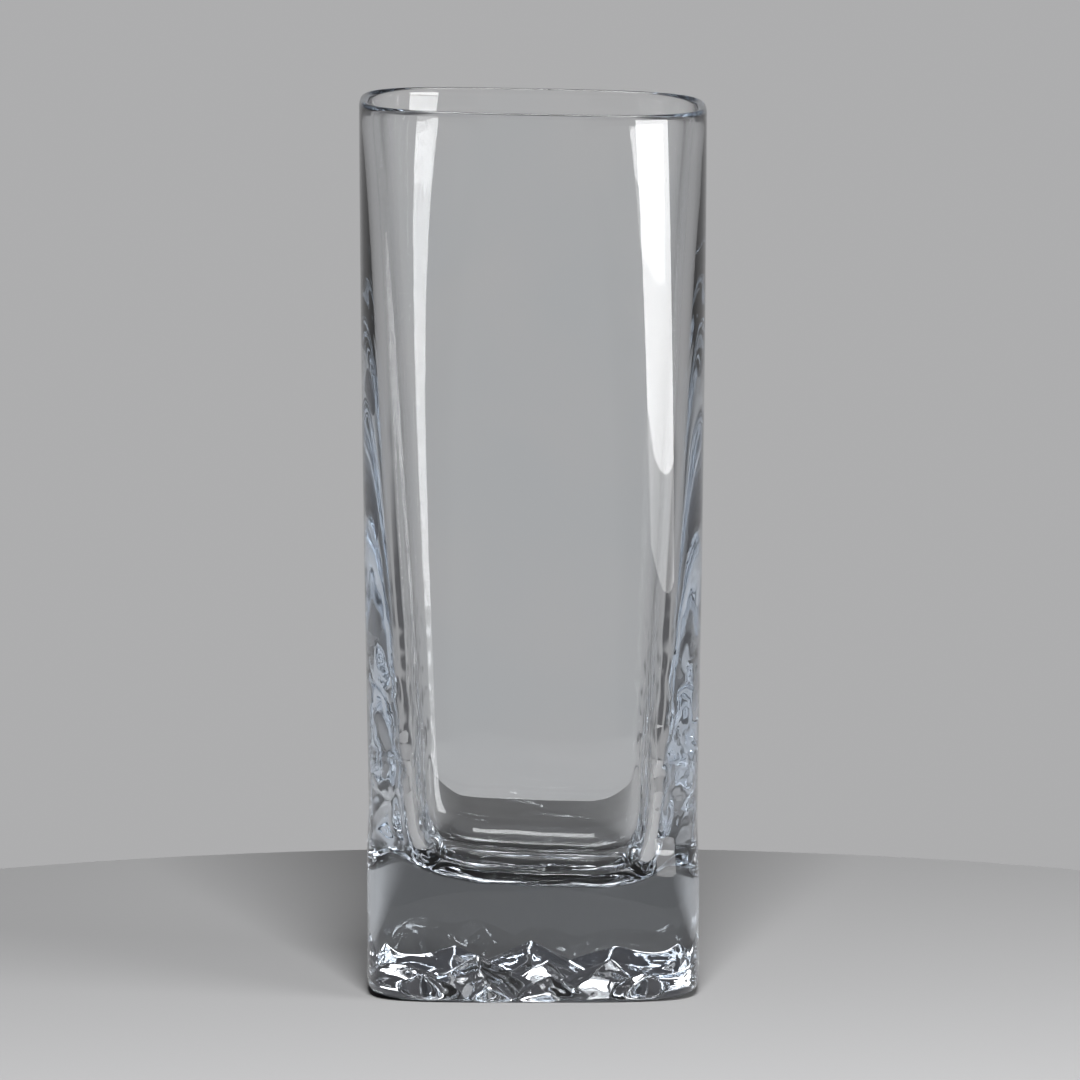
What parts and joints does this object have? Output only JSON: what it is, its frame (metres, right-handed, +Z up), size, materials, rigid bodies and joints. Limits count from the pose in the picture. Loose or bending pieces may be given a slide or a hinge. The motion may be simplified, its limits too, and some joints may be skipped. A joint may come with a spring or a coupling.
{
  "type": "cooler glass",
  "caption": "Tall clear cooler glass with a soft square section, walls that thicken downward, a heavy clear foot and a craggy moulded underside, for long cold drinks.",
  "frame": {"origin": "centre of the standing ring, on the surface that the glass stands on", "axes": "+Z up along the glass's axis, +X to the right and +Y away from the viewer across the flats of the square section"},
  "size_m": [0.0644, 0.0644, 0.165],
  "materials": {
    "glass": "clear polished glass with a faint cool tint in the thick parts"
  },
  "bodies": {
    "root": {"base": "glass", "sidewall": "glass", "lip": "glass"}
  },
  "joints": []
}
